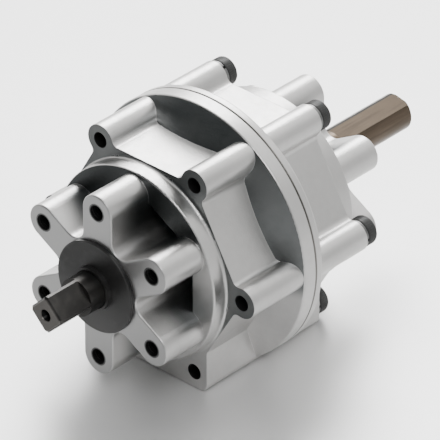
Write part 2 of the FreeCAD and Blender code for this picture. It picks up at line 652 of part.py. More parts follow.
def case_bolt():
    """Low-head socket screw along the axis, its head's underside at the washer."""
    seat = REAR_SEAT_Y + WASHER_THICKNESS
    top = seat + BOLT_HEAD_HEIGHT
    tip_chamfer = BOLT_RADIUS - TAPPING_RADIUS
    screw = turned_polygon([(0, seat - BOLT_LENGTH), (TAPPING_RADIUS, seat - BOLT_LENGTH),
                            (BOLT_RADIUS, seat - BOLT_LENGTH + tip_chamfer), (BOLT_RADIUS, seat),
                            (BOLT_HEAD_RADIUS, seat), (BOLT_HEAD_RADIUS, top), (0, top)])
    screw = screw.makeFillet(BOLT_HEAD_ROUND, edges_in_plane(screw, top))
    socket = hexagon(0.5 * BOLT_SOCKET_FLATS, top - BOLT_SOCKET_DEPTH, top + 1.0, 0.0)
    return one_solid(screw.cut(socket))


def spring_washer():
    """Split lock washer along the axis, its cut leaning across the ring."""
    y_from = REAR_SEAT_Y
    ring = tube(WASHER_RADIUS, BOLT_RADIUS + THREAD_CLEARANCE, y_from, y_from + WASHER_THICKNESS)
    slit = Part.makeBox(WASHER_CUT, 6 * WASHER_THICKNESS, WASHER_RADIUS + 1.0,
                        Vector(-0.5 * WASHER_CUT, -3 * WASHER_THICKNESS, 0))
    slit.rotate(CENTRE, Vector(0, 0, 1), WASHER_CUT_LEAN)
    slit.translate(Vector(0, y_from + 0.5 * WASHER_THICKNESS, 0))
    return one_solid(ring.cut(slit))


def round_bolt_circle(piece):
    """Copies of an axial piece at each case bolt."""
    copies = []
    for angle in evenly(BOLT_COUNT):
        copy = piece.copy()
        copy.rotate(CENTRE, AXIS, 90.0 - angle)
        copy.translate(around(angle, BOLT_CIRCLE_RADIUS))
        copies.append(copy)
    return copies


def case_o_ring():
    """Ring squeezed into the joint groove until it meets the other half."""
    ring = tube(O_RING_INNER_RADIUS + O_RING_WIDTH, O_RING_INNER_RADIUS, JOINT_Y - O_RING_DEPTH, JOINT_Y)
    return one_solid(ring.makeFillet(O_RING_ROUND, circle_edges(ring)))


def circle_edges(shape):
    """Full-circle edges about the shaft."""
    return [edge for edge in shape.Edges if edge.isClosed() and isinstance(edge.Curve, Part.Circle)]


def dowel_pins():
    """Pins that line up the two halves."""
    pins = []
    for angle in DOWEL_ANGLES:
        pins.append(rod_at(around(angle, BOLT_CIRCLE_RADIUS), DOWEL_RADIUS,
                           JOINT_Y - 0.5 * DOWEL_LENGTH, JOINT_Y + 0.5 * DOWEL_LENGTH))
    return pins


def shoe_pins():
    """Pins through the shoe into both end walls."""
    return [rod(SHOE_PIN_RADIUS, CHAMBER_FRONT_Y - SHOE_PIN_SEAT, CHAMBER_REAR_Y + SHOE_PIN_SEAT,
                side * SHOE_PIN_OFFSET, -SHOE_PIN_DROP) for side in (-1, 1)]


def save_bearing(end, y_from):
    """Write the four pieces of one ball bearing."""
    middle = y_from + 0.5 * BEARING_WIDTH
    save(end + "_bearing_outer_ring",
         ball_race(BEARING_OUTER_RADIUS - RACE_THICKNESS, BEARING_OUTER_RADIUS, y_from))
    save(end + "_bearing_inner_ring", ball_race(SHAFT_RADIUS, SHAFT_RADIUS + RACE_THICKNESS, y_from))
    save(end + "_bearing_balls", *bearing_balls(middle))
    save(end + "_bearing_cage", bearing_cage(middle))


def main():
    """Build and write every piece."""
    os.makedirs("parts", exist_ok=True)
    save("front_case", front_case())
    save("rear_case", rear_case())
    save("vane_shaft", vane_shaft())
    save("vane_seal", one_solid(vane_seal_band(CHAMBER_RADIUS - RUN_GAP, RUN_GAP)))
    save("shoe", shoe())
    save("shoe_seal", shoe_seal_bar(SHAFT_HUB_RADIUS + RUN_GAP))
    save("stop_pads", *stop_pads())
    save("shoe_pins", *shoe_pins())
    save("dowel_pins", *dowel_pins())
    save("case_o_ring", case_o_ring())
    save_bearing("front", BEARING_INSET)
    save_bearing("rear", REAR_FACE_Y - BEARING_END)
    seal = shaft_seal()
    spring = garter_spring()
    save("front_shaft_seal", seal)
    save("rear_shaft_seal", mirrored(seal))
    save("front_garter_spring", spring)
    save("rear_garter_spring", mirrored(spring))
    save("front_cap", front_cap())
    save("rear_retaining_ring", retaining_ring())
    save("case_bolts", *round_bolt_circle(case_bolt()))
    save("spring_washers", *round_bolt_circle(spring_washer()))


main()
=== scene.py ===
import logging
import math
from dataclasses import dataclass
from enum import Enum
from typing import Any, ClassVar, Optional

import bmesh
import bpy
from bpy.types import Material, NodeTree, Object
from mathutils import Matrix, Vector


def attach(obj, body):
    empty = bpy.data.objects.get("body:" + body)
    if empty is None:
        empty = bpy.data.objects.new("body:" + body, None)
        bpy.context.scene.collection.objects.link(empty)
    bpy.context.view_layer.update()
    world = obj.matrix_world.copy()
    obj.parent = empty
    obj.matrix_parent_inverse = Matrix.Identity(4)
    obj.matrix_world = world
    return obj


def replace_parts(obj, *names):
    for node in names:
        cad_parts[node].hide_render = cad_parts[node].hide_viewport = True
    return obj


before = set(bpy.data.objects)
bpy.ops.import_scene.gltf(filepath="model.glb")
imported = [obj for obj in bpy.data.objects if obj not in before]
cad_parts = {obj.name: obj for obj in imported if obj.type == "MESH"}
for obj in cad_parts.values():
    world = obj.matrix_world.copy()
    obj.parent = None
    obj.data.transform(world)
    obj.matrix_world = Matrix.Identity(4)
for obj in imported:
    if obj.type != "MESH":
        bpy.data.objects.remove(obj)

LOG = logging.getLogger("actuator")
MM = 0.001


class Body(str, Enum):
    """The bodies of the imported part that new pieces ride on."""

    CASE = "case"


class Slot(str, Enum):
    """The record's material slots that new pieces take their finish from."""

    SCREWS = "black_screws"
    SPRING = "spring_steel"
    CASTING = "cast_aluminium"


class Value:
    """One node socket that can be written into sums; each operator adds its Math node."""

    def __init__(self, graph: "Graph", socket: Any) -> None:
        """Wraps a socket of the graph."""
        self.graph = graph
        self.socket = socket

    def __add__(self, other: Any) -> "Value":
        """Returns self + other."""
        return self.graph.maths("ADD", self, other)

    __radd__ = __add__

    def __sub__(self, other: Any) -> "Value":
        """Returns self - other."""
        return self.graph.maths("SUBTRACT", self, other)

    def __rsub__(self, other: Any) -> "Value":
        """Returns other - self."""
        return self.graph.maths("SUBTRACT", other, self)

    def __mul__(self, other: Any) -> "Value":
        """Returns self * other."""
        return self.graph.maths("MULTIPLY", self, other)

    __rmul__ = __mul__

    def __truediv__(self, other: Any) -> "Value":
        """Returns self / other."""
        return self.graph.maths("DIVIDE", self, other)

    def __rtruediv__(self, other: Any) -> "Value":
        """Returns other / self."""
        return self.graph.maths("DIVIDE", other, self)

    def __neg__(self) -> "Value":
        """Returns the value with its sign turned."""
        return self.graph.maths("MULTIPLY", self, -1.0)

    def __gt__(self, other: Any) -> "Value":
        """Returns 1 where self is greater, else 0."""
        return self.graph.maths("GREATER_THAN", self, other)

    def __lt__(self, other: Any) -> "Value":
        """Returns 1 where self is less, else 0."""
        return self.graph.maths("LESS_THAN", self, other)

    def __abs__(self) -> "Value":
        """Returns the size of the value."""
        return self.graph.maths("ABSOLUTE", self)

    def clipped(self) -> "Value":
        """Returns the value held between 0 and 1."""
        return self.graph.maths("ADD", self, 0.0, clamp=True)

    def rising(self, low: float, high: float) -> "Value":
        """Returns a smooth step from 0 at low to 1 at high."""
        return self.graph.add("ShaderNodeMapRange", {"interpolation_type": "SMOOTHSTEP"},
                              {"Value": self, "From Min": low, "From Max": high})

    def near(self, middle: float, width: float) -> "Value":
        """Returns 1 within width of middle, else 0."""
        return self.graph.maths("COMPARE", self, middle, width)


class Graph:
    """Adds nodes to one tree, of shader or geometry nodes."""

    def __init__(self, tree: NodeTree) -> None:
        """Starts on a tree that may already hold nodes."""
        self.tree = tree

    def add(self, kind: str, settings: Optional[dict[str, Any]] = None,
            inputs: Optional[dict[Any, Any]] = None, output: Any = 0) -> Value:
        """Adds one node.

        Args:
            kind: the node's type.
            settings: properties that are set first.
            inputs: socket names or places with the numbers, colours or values they take.
            output: name or place of the output to hand back.

        Returns:
            The chosen output.
        """
        node = self.tree.nodes.new(kind)
        for name, setting in (settings or {}).items():
            setattr(node, name, setting)
        for name, given in (inputs or {}).items():
            self.feed(node.inputs[name], given)
        return Value(self, node.outputs[output])

    def feed(self, socket: Any, given: Any) -> None:
        """Links a value to a socket, or sets a plain number, colour or object on it."""
        if isinstance(given, Value):
            self.tree.links.new(given.socket, socket)
        else:
            socket.default_value = given

    def maths(self, operation: str, *operands: Any, clamp: bool = False) -> Value:
        """Adds a Math node.

        Args:
            operation: the node's operation.
            operands: values or numbers, in order.
            clamp: whether the result is held between 0 and 1.

        Returns:
            The node's result.
        """
        return self.add("ShaderNodeMath", {"operation": operation, "use_clamp": clamp},
                        dict(enumerate(operands)))

    def blend(self, share: Any, first: Any, second: Any) -> Value:
        """Returns a colour that goes from the first to the second with the share."""
        return self.add("ShaderNodeMix", {"data_type": "RGBA", "clamp_factor": True},
                        {0: share, 6: first, 7: second}, output=2)

    def noise(self, place: Value, scale: float, detail: float = 3.0,
              roughness: float = 0.5) -> Value:
        """Returns cloudy noise from 0 to 1 at a place, with the scale in waves per metre."""
        inputs = {"Vector": place, "Scale": scale, "Detail": detail, "Roughness": roughness}
        return self.add("ShaderNodeTexNoise", {"noise_dimensions": "3D"}, inputs)

    def joined(self, x: Any, y: Any, z: Any) -> Value:
        """Returns a vector from three numbers or values."""
        return self.add("ShaderNodeCombineXYZ", None, {0: x, 1: y, 2: z})


# Points, and spans from one place to another, are in metres; other spans are plain numbers.
Colour = tuple[float, float, float, float]
Point = tuple[float, float, float]
Span = tuple[float, float]


def grey(value: float, warmth: float = 0.0) -> Colour:
    """Returns an opaque grey; warmth lifts red and lowers blue."""
    return (value * (1.0 + warmth), value, value * (1.0 - warmth), 1.0)


class SurfaceGraph(Graph):
    """A material's tree, with the places and directions that finishes need.

    The place on the part is x, y and z, the distance from the shaft's axis is radius, and out_y
    says how far the face looks along the shaft.
    """

    def __init__(self, name: str) -> None:
        """Makes an empty material with one shader."""
        self.material = bpy.data.materials.new(name)
        self.material.use_nodes = True
        super().__init__(self.material.node_tree)
        self.tree.nodes.clear()
        self.shader = self.tree.nodes.new("ShaderNodeBsdfPrincipled")
        output = self.tree.nodes.new("ShaderNodeOutputMaterial")
        self.tree.links.new(self.shader.outputs[0], output.inputs["Surface"])
        self.place = self.add("ShaderNodeTexCoord", output="Object")
        self.x, self.y, self.z = self._split(self.place)
        self.out_y = self._split(self.add("ShaderNodeNewGeometry", output="True Normal"))[1]
        self.radius = self.maths("SQRT", self.x * self.x + self.z * self.z)

    def _split(self, vector: Value) -> tuple[Value, Value, Value]:
        """Returns the three parts of a vector."""
        first = self.add("ShaderNodeSeparateXYZ", None, {0: vector})
        outputs = first.socket.node.outputs
        return first, Value(self, outputs[1]), Value(self, outputs[2])

    def finish(self, colour: Any, roughness: Any, metallic: Any, height: Optional[Value] = None,
               depth: float = 0.0, strength: float = 1.0,
               soft_edge: float = 0.0) -> Material:
        """Feeds the shader.

        Args:
            colour: base colour.
            roughness: roughness.
            metallic: share of metal.
            height: relief from 0 to 1, if there is any.
            depth: depth of the relief in metres.
            strength: strength of the relief.
            soft_edge: radius to which sharp edges look rounded, in metres.

        Returns:
            The finished material.
        """
        self.feed(self.shader.inputs["Base Color"], colour)
        self.feed(self.shader.inputs["Roughness"], roughness)
        self.feed(self.shader.inputs["Metallic"], metallic)
        if height is not None:
            relief = {"Height": height, "Distance": depth, "Strength": strength}
            if soft_edge:
                relief["Normal"] = self.add("ShaderNodeBevel", {"samples": 6},
                                            {"Radius": soft_edge})
            bump = self.add("ShaderNodeBump", None, relief)
            self.feed(self.shader.inputs["Normal"], bump)
        return self.material

    def _lines(self, distance: Value, pitch: float, unevenness: Value) -> Value:
        """Adds waves that follow one another along a distance.

        Args:
            distance: the distance on the part, in metres.
            pitch: length of one wave in metres.
            unevenness: how far each wave is off its place, in radians.

        Returns:
            The waves, from 0 to 1.
        """
        return self.maths("SINE", distance * (math.tau / pitch) + unevenness) * 0.5 + 0.5

    def turned_lines(self, pitch: float) -> Value:
        """Returns fine circular tool lines about the shaft, from 0 to 1."""
        return self._lines(self.radius, pitch, self.noise(self.place, 400.0, 1.0) * 0.6)

    def length_lines(self, pitch: float) -> Value:
        """Returns fine tool lines round a turned bar, one after the other along the shaft."""
        return self._lines(self.y, pitch, self.noise(self.place, 300.0, 1.0) * 1.2)


@dataclass(frozen=True)
class CastAluminium:
    """Bright blasted casting with smooth machined end faces.

    The cast faces that look along the shaft carry painted shade and painted dark reflection,
    most on the upper faces, the bolt faces and the front land; the floors of the pockets carry
    painted shade, the holes are painted dark as shade, and a painted shade ring round each mount
    hole stands for a chamfer. The joint line is drawn in. The front end face is at y = 0. A depth
    is measured from the nearer end face, so both halves are alike. A span says where a mark
    starts and where it is full.
    """

    light: Colour = grey(0.62, 0.014)
    shade: Colour = grey(0.50, 0.012)
    machined: Colour = grey(0.42)
    # Painted shade and painted dark reflection on the cast faces that look along the shaft.
    painted_shade: Colour = (0.130, 0.142, 0.144, 1.0)
    # Deeper painted shade, on the bolt faces and on the upper front land.
    painted_deep_shade: Colour = (0.040, 0.045, 0.046, 1.0)
    # Painted shade in the pockets.
    painted_pocket_shade: Colour = (0.085, 0.0935, 0.095, 1.0)
    seam: Colour = grey(0.09, 0.12)
    # Painted shade ring round each mount hole, standing in for a chamfer.
    painted_chamfer_shade: Colour = grey(0.13)
    # Painted shade in the holes and on their threads.
    hole: Colour = grey(0.030)

    metal: float = 0.95
    roughness: float = 0.31
    skin_roughness: float = 0.22
    grain_roughness: float = 0.05
    flat_roughness: float = 0.02
    hole_roughness: float = 0.3
    skin_relief: float = 0.9
    mill_relief: float = 0.15

    cloud_scale: float = 34.0
    cloud_span: Span = (0.30, 0.72)
    cloud_share: float = 0.55
    skin_scale: float = 320.0
    skin_share: float = 0.5
    grain_scale: float = 1500.0
    mill_pitch: float = 1.1 * MM

    rear_face: float = 131.0 * MM
    face_reach: float = 0.2 * MM
    machined_share: float = 0.8

    # Where the painted shade goes: faces that look along the shaft, higher than these heights.
    facing_span: Span = (0.84, 0.90)
    wall_height: Span = (-28.0 * MM, -12.0 * MM)
    flange_height: Span = (-11.0 * MM, -3.0 * MM)
    flange_depth: float = 33.0 * MM
    painted_shade_share: float = 0.80
    painted_shade_cloud_share: float = 0.15
    bolt_face: float = 30.0 * MM
    bolt_face_reach: float = 1.2 * MM
    bolt_face_share: float = 0.6

    # The front land gets painted shade, deepest towards the top and the left.
    land: float = 22.4 * MM
    land_reach: float = 1.0 * MM
    land_painted_shade_share: float = 0.25
    land_slope: float = 0.62
    land_span: Span = (-4.0 * MM, 5.0 * MM)
    land_share: float = 0.95

    pocket_span: Span = (4.4 * MM, 17.4 * MM)
    pocket_end: float = 34.4 * MM
    pocket_hub: Span = (20.0 * MM, 28.0 * MM)
    pocket_reach: float = 41.0 * MM
    pocket_fade: float = 4.0 * MM
    pocket_share: float = 0.9

    parting: float = 67.5 * MM
    seam_reach: float = 0.55 * MM
    seam_share: float = 0.75
    mount_circle: float = 35.0 * MM
    mount_turn: float = math.pi / 6.0
    bolt_circle: float = 52.5 * MM
    hole_radius: float = 3.55 * MM
    chamfer_shade_radius: float = 4.15 * MM

    def build(self) -> Material:
        """Returns the material."""
        s = SurfaceGraph("cast_aluminium")
        cloud = s.noise(s.place, self.cloud_scale).rising(*self.cloud_span)
        skin = s.noise(s.place, self.skin_scale, 4.0, 0.6)
        grain = s.noise(s.place, self.grain_scale, 2.0, 0.7)
        flats = (s.y.near(0.0, self.face_reach)
                 + s.y.near(self.rear_face, self.face_reach)).clipped()
        cast = 1.0 - flats
        clouded = cloud * self.cloud_share + (skin - 0.5) * self.skin_share
        colour = s.blend(clouded, self.light, self.shade)
        colour = s.blend(flats * self.machined_share, colour, self.machined)
        colour = self._with_painted_shade(s, colour, cloud, cast)
        seam = s.y.near(self.parting, self.seam_reach) * self.seam_share
        colour = s.blend(seam, colour, self.seam)
        # A painted shade ring round each mount hole stands for a chamfer.
        chamfer_shade_rings = self._within_holes(s, self.mount_circle, self.mount_turn, self.chamfer_shade_radius)
        # The mount and bolt holes are painted dark as shade, threads included.
        holes = (self._within_holes(s, self.mount_circle, self.mount_turn, self.hole_radius)
                 + self._within_holes(s, self.bolt_circle, 0.0, self.hole_radius)).clipped()
        colour = s.blend(holes, s.blend(chamfer_shade_rings, colour, self.painted_chamfer_shade), self.hole)
        blasted = (skin - 0.5) * self.skin_roughness + grain * self.grain_roughness
        rough = self.roughness + blasted * cast + flats * self.flat_roughness
        rough = (rough + holes * self.hole_roughness).clipped()
        mill = s.turned_lines(self.mill_pitch) * flats
        height = (grain + skin * self.skin_relief) * cast + mill * self.mill_relief
        return s.finish(colour, rough, self.metal, height, depth=0.12 * MM, strength=0.55,
                        soft_edge=0.5 * MM)

    def _with_painted_shade(self, s: SurfaceGraph, colour: Value, cloud: Value,
                         cast: Value) -> Value:
        """Paints shade and dark reflection on the cast faces that look along the shaft, and shade
        in the pockets.

        Args:
            s: the material's tree.
            colour: colour of the skin so far.
            cloud: the skin's slow change, from 0 to 1.
            cast: 1 where the skin is as cast, 0 where it is machined.

        Returns:
            The colour with the painted shade in it.
        """
        depth = s.maths("MINIMUM", s.y, self.rear_face - s.y)
        behind = depth > self.flange_depth
        # The painted shade grows with height, darker towards the top.
        upper = (behind * s.z.rising(*self.flange_height)
                 + (1.0 - behind) * s.z.rising(*self.wall_height))
        facing = abs(s.out_y).rising(*self.facing_span) * cast * upper
        # The bolt faces get deeper painted shade.
        bolt_faces = depth.near(self.bolt_face, self.bolt_face_reach) * self.bolt_face_share
        painted_shade = s.blend(bolt_faces, self.painted_shade, self.painted_deep_shade)
        # Paint shade and dark reflection on the faces that look along the shaft.
        walls = s.blend(facing * (self.painted_shade_share + cloud * self.painted_shade_cloud_share), colour, painted_shade)
        # Painted shade deep in the pockets.
        walls = s.blend(self._pockets(s, depth) * self.pocket_share, walls, self.painted_pocket_shade)
        # Painted shade on the front land, deeper towards the top and the left.
        high = (s.z - s.x * self.land_slope).rising(*self.land_span)
        lands = s.blend(self.land_painted_shade_share, colour, self.painted_shade)
        lands = s.blend(high * self.land_share, lands, self.painted_deep_shade)
        return s.blend(depth.near(self.land, self.land_reach) * facing, walls, lands)

    def _pockets(self, s: SurfaceGraph, depth: Value) -> Value:
        """Marks the pockets between the webs, where painted shade goes.

        Args:
            s: the material's tree.
            depth: depth from the nearer end face.

        Returns:
            1 deep in the pockets, 0 outside them.
        """
        inside = depth.rising(*self.pocket_span) * (depth < self.pocket_end)
        within = (self.pocket_reach - s.radius).rising(0.0, self.pocket_fade)
        return inside * within * s.radius.rising(*self.pocket_hub)

    def _within_holes(self, s: SurfaceGraph, circle: float, first: float, reach: float) -> Value:
        """Marks six holes on a circle.

        Args:
            s: the material's tree.
            circle: radius of the circle of holes.
            first: clock angle of the first hole, in radians.
            reach: radius of the mark round each hole's middle.

        Returns:
            1 in the holes, else 0.
        """
        sixth = math.pi / 3.0
        turn = (s.maths("ARCTAN2", s.z, s.x) - first) / sixth
        off = (turn - s.maths("ROUND", turn)) * sixth
        along = s.radius * s.maths("COSINE", off) - circle
        across = s.radius * s.maths("SINE", off)
        return s.maths("SQRT", along * along + across * across) < reach


@dataclass(frozen=True)
class ShaftSteel:
    """Black oxide on the square end, ground in the middle, browned steel on the long end.

    The milled face on the long end is painted darker than the round as painted shade, with a
    painted shadow along its far edge, and the centre hole of the square end is painted near black
    as shade.
    """

    oxide: Colour = grey(0.050, 0.03)
    worn: Colour = grey(0.13, 0.06)
    ground: Colour = grey(0.55)
    browned: Colour = (0.130, 0.100, 0.074, 1.0)
    browned_dark: Colour = (0.060, 0.045, 0.033, 1.0)
    # Painted shade: the milled face is painted darker than the round.
    painted_flat_shade: Colour = (0.040, 0.029, 0.019, 1.0)
    painted_flat_deep_shade: Colour = (0.020, 0.014, 0.009, 1.0)
    # Near black painted shade, for the far edge of the milled face and the centre hole.
    painted_black_shade: Colour = grey(0.012)

    metal: float = 0.95
    roughness: float = 0.33
    cloud_roughness: float = 0.12
    front_roughness: float = 0.02
    line_roughness: float = 0.03
    line_pitch: float = 0.45 * MM

    cloud_scale: float = 90.0
    worn_span: Span = (0.45, 0.75)
    worn_share: float = 0.35
    streak_scale: float = 520.0
    streak_squeeze: float = 0.06
    streak_span: Span = (0.30, 0.80)
    streak_share: float = 0.7
    flat_span: Span = (0.40, 0.85)

    tip: float = -30.5 * MM
    tip_reach: float = 0.3 * MM
    tip_share: float = 0.75
    centre_hole: float = 2.6 * MM
    case_front: float = 4.0 * MM
    case_rear: float = 128.0 * MM
    case_fade: float = 2.0 * MM
    flat_side: tuple[float, float] = (0.208, 0.978)
    flat_level: float = 6.9 * MM
    flat_reach: float = 0.1 * MM
    flat_start: float = 145.5 * MM
    flat_edge: float = 4.65 * MM
    flat_edge_reach: float = 0.5 * MM

    def build(self) -> Material:
        """Returns the material."""
        s = SurfaceGraph("shaft_steel")
        cloud = s.noise(s.place, self.cloud_scale)
        streak = s.noise(s.joined(s.x, s.y * self.streak_squeeze, s.z), self.streak_scale)
        lines = s.length_lines(self.line_pitch)
        front = 1.0 - s.y.rising(self.case_front, self.case_front + self.case_fade)
        rear = s.y.rising(self.case_rear, self.case_rear + self.case_fade)
        tip = s.y.near(self.tip, self.tip_reach)
        wear = cloud.rising(*self.worn_span) * self.worn_share + tip * self.tip_share
        black = s.blend(wear.clipped(), self.oxide, self.worn)
        colour = s.blend(rear, self.ground, self._long_end(s, streak))
        colour = s.blend(front, colour, black)
        # The centre hole in the square end is painted near black as shade.
        colour = s.blend((s.radius < self.centre_hole) * front, colour, self.painted_black_shade)
        rough = (self.roughness + (cloud - 0.5) * self.cloud_roughness
                 + front * self.front_roughness + lines * self.line_roughness)
        return s.finish(colour, rough.clipped(), self.metal, lines, depth=0.02 * MM,
                        strength=0.35)

    def _long_end(self, s: SurfaceGraph, streak: Value) -> Value:
        """Colours the long end.

        Args:
            s: the material's tree.
            streak: noise drawn out along the shaft, from 0 to 1.

        Returns:
            The browned colour, with the painted shade of the milled face in it.
        """
        share = streak.rising(*self.streak_span) * self.streak_share
        brown = s.blend(share, self.browned, self.browned_dark)
        across, up = self.flat_side
        level = (s.x * across + s.z * up).near(self.flat_level, self.flat_reach)
        # The milled face is painted darker than the round as shade, with a painted shadow along
        # its far edge.
        far_edge = (s.x * up - s.z * across).near(-self.flat_edge, self.flat_edge_reach)
        dark = s.blend(streak.rising(*self.flat_span), self.painted_flat_shade, self.painted_flat_deep_shade)
        dark = s.blend(far_edge, dark, self.painted_black_shade)
        return s.blend(level * (s.y > self.flat_start), brown, dark)


@dataclass(frozen=True)
class BareSteel:
    """Bare metal, ground, pressed or machined, by its colours, roughness and tool lines."""

    name: str
    colour: Colour
    mark: Colour
    roughness: float
    pitch: float = 0.3 * MM
    cloud_scale: float = 160.0
    mark_span: Span = (0.35, 0.75)
    mark_share: float = 0.7
    cloud_roughness: float = 0.16
    line_roughness: float = 0.05

    def build(self) -> Material:
        """Returns the material."""
        s = SurfaceGraph(self.name)
        cloud = s.noise(s.place, self.cloud_scale)
        lines = s.turned_lines(self.pitch)
        colour = s.blend(cloud.rising(*self.mark_span) * self.mark_share, self.colour, self.mark)
        rough = (self.roughness + (cloud - 0.5) * self.cloud_roughness
                 + lines * self.line_roughness)
        return s.finish(colour, rough.clipped(), 1.0, lines, depth=0.02 * MM, strength=0.5)


@dataclass(frozen=True)
class BlackMetal:
    """Black finish on steel or aluminium, a little worn by rubbing.

    Where a rim radius is given, the piece is also lighter along that rim, as wear from rubbing and
    a painted edge highlight, and on its low side, as painted light.
    """

    name: str
    colour: Colour
    rubbed_and_lit: Colour
    roughness: float = 0.36
    rim_radius: float = 0.0
    rim_inset: float = 0.49 * MM
    rim_reach: float = 0.21 * MM
    rim_wear_and_highlight_share: float = 0.12
    painted_light_slope: float = 0.3
    painted_light_span: Span = (-4.0 * MM, 20.0 * MM)
    painted_light_share: float = 0.55
    cloud_scale: float = 140.0
    cloud_span: Span = (0.50, 0.80)
    cloud_share: float = 0.25
    speck_scale: float = 1900.0
    speck_span: Span = (0.62, 0.80)
    speck_share: float = 0.12
    cloud_roughness: float = 0.18
    speck_roughness: float = 0.06
    metal: float = 0.45
    pitch: float = 0.6 * MM

    def build(self) -> Material:
        """Returns the material."""
        s = SurfaceGraph(self.name)
        cloud = s.noise(s.place, self.cloud_scale)
        speck = s.noise(s.place, self.speck_scale, 2.0, 0.7)
        lines = s.turned_lines(self.pitch)
        worn = (cloud.rising(*self.cloud_span) * self.cloud_share
                + speck.rising(*self.speck_span) * self.speck_share)
        if self.rim_radius:
            # A lighter ring inside the edge is wear from rubbing and a painted edge highlight; the
            # low side gets painted light.
            rim = s.radius.near(self.rim_radius - self.rim_inset, self.rim_reach)
            low = (-s.z - s.x * self.painted_light_slope).rising(*self.painted_light_span)
            worn = worn + rim * self.rim_wear_and_highlight_share + low * self.painted_light_share
        # The lighter colour stands for wear and, on the cap, for painted light.
        colour = s.blend(worn.clipped(), self.colour, self.rubbed_and_lit)
        rough = (self.roughness + (cloud - 0.5) * self.cloud_roughness
                 + speck * self.speck_roughness)
        return s.finish(colour, rough.clipped(), self.metal, (lines + speck) * 0.5,
                        depth=0.03 * MM, strength=0.5)


@dataclass(frozen=True)
class SoftPolymer:
    """Moulded rubber or urethane with a fine matt skin."""

    name: str
    colour: Colour = grey(0.018)
    bloom: Colour = grey(0.050)
    roughness: float = 0.62
    bloom_scale: float = 120.0
    bloom_span: Span = (0.4, 0.8)
    skin_scale: float = 2400.0
    skin_roughness: float = 0.2

    def build(self) -> Material:
        """Returns the material."""
        s = SurfaceGraph(self.name)
        bloom = s.noise(s.place, self.bloom_scale, 4.0)
        skin = s.noise(s.place, self.skin_scale, 2.0, 0.6)
        colour = s.blend(bloom.rising(*self.bloom_span), self.colour, self.bloom)
        rough = self.roughness + (skin - 0.5) * self.skin_roughness
        return s.finish(colour, rough.clipped(), 0.0, skin, depth=0.03 * MM, strength=0.6)


class Finishes:
    """Every finish of the actuator, built once."""

    def __init__(self) -> None:
        """Builds the materials."""
        self.casting = CastAluminium().build()
        self.machined = BareSteel("machined_aluminium", grey(0.72), grey(0.62), 0.30,
                                  pitch=0.5 * MM).build()
        self.shaft = ShaftSteel().build()
        self.cap = BlackMetal("black_cap", grey(0.030, 0.01), grey(0.12, 0.01),
                              rim_radius=20.8 * MM).build()
        self.screws = BlackMetal("black_screws", grey(0.042), grey(0.14), 0.40).build()
        self.spring = BareSteel("spring_steel", grey(0.20), grey(0.12), 0.34).build()
        self.pin = BareSteel("pin_steel", grey(0.55), grey(0.45), 0.22).build()
        self.bearing = BareSteel("bearing_steel", grey(0.60), grey(0.50), 0.18).build()
        self.ball = BareSteel("ball_steel", grey(0.68), grey(0.62), 0.08).build()
        self.cage = BareSteel("cage_steel", (0.50, 0.46, 0.40, 1.0),
                              (0.38, 0.34, 0.28, 1.0), 0.30).build()
        self.rubber = SoftPolymer("seal_rubber").build()
        self.pad = SoftPolymer("pad_urethane", (0.50, 0.33, 0.09, 1.0),
                               (0.60, 0.42, 0.16, 1.0), 0.48).build()


def dress(node: str, material: Material) -> None:
    """Gives one CAD node a finish.

    Args:
        node: the node's name.
        material: its finish.
    """
    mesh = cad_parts[node].data
    mesh.materials.clear()
    mesh.materials.append(material)
    LOG.info("dressed %s with %s", node, material.name)


def placed(name: str, data: Any) -> Object:
    """Returns a new object in the scene, at the origin, that holds the given data."""
    made = bpy.data.objects.new(name, data)
    bpy.context.scene.collection.objects.link(made)
    return made


class Shape:
    """A mesh drawn point by point, for the masters that are then repeated."""

    def __init__(self) -> None:
        """Starts an empty mesh."""
        self.mesh = bmesh.new()

    def point(self, radius: float, y: float, turn: float) -> bmesh.types.BMVert:
        """Returns a new point at a radius, a place along Y and a turn about it in radians."""
        return self.mesh.verts.new((radius * math.cos(turn), y, radius * math.sin(turn)))

    def band(self, first: list[bmesh.types.BMVert], second: list[bmesh.types.BMVert]) -> None:
        """Adds the faces between two closed rings of points.

        Args:
            first: points of the first ring; one point repeated closes the end.
            second: as many points of the next ring.
        """
        for step in range(len(first)):
            after = (step + 1) % len(first)
            corners = [first[step], first[after], second[after], second[step]]
            unique = list(dict.fromkeys(corners))
            if len(unique) > 2:
                self.mesh.faces.new(unique)

    def turned(self, profile: list[tuple[float, float]], steps: int) -> "Shape":
        """Adds a solid turned about Y.

        Args:
            profile: (radius, y) points in metres; a radius of 0 closes the end.
            steps: number of sides.

        Returns:
            The shape itself.
        """
        turns = [math.tau * step / steps for step in range(steps)]
        rings = []
        for radius, y in profile:
            if radius == 0.0:
                rings.append([self.point(0.0, y, 0.0)] * steps)
            else:
                rings.append([self.point(radius, y, turn) for turn in turns])
        for first, second in zip(rings, rings[1:]):
            self.band(first, second)
        return self

    def block(self, low: Vector, high: Vector, turn: Matrix) -> "Shape":
        """Adds a box between two corners, then turned.

        Args:
            low: lowest corner.
            high: highest corner.
            turn: matrix that places it.

        Returns:
            The shape itself.
        """
        middle = (low + high) / 2.0
        size = Matrix.Diagonal((*(high - low), 1.0))
        bmesh.ops.create_cube(self.mesh, size=1.0, matrix=turn @ Matrix.Translation(middle) @ size)
        return self

    def object(self, name: str, smooth_angle: float = 0.6) -> Object:
        """Makes an object of the shape, its faces outwards.

        Args:
            name: the object's name.
            smooth_angle: edges below this angle in radians look smooth.

        Returns:
            The object.
        """
        bmesh.ops.remove_doubles(self.mesh, verts=self.mesh.verts, dist=1e-7)
        bmesh.ops.recalc_face_normals(self.mesh, faces=self.mesh.faces)
        for face in self.mesh.faces:
            face.smooth = True
        for edge in self.mesh.edges:
            edge.smooth = edge.calc_face_angle(math.pi) < smooth_angle
        data = bpy.data.meshes.new(name)
        self.mesh.to_mesh(data)
        self.mesh.free()
        return placed(name, data)


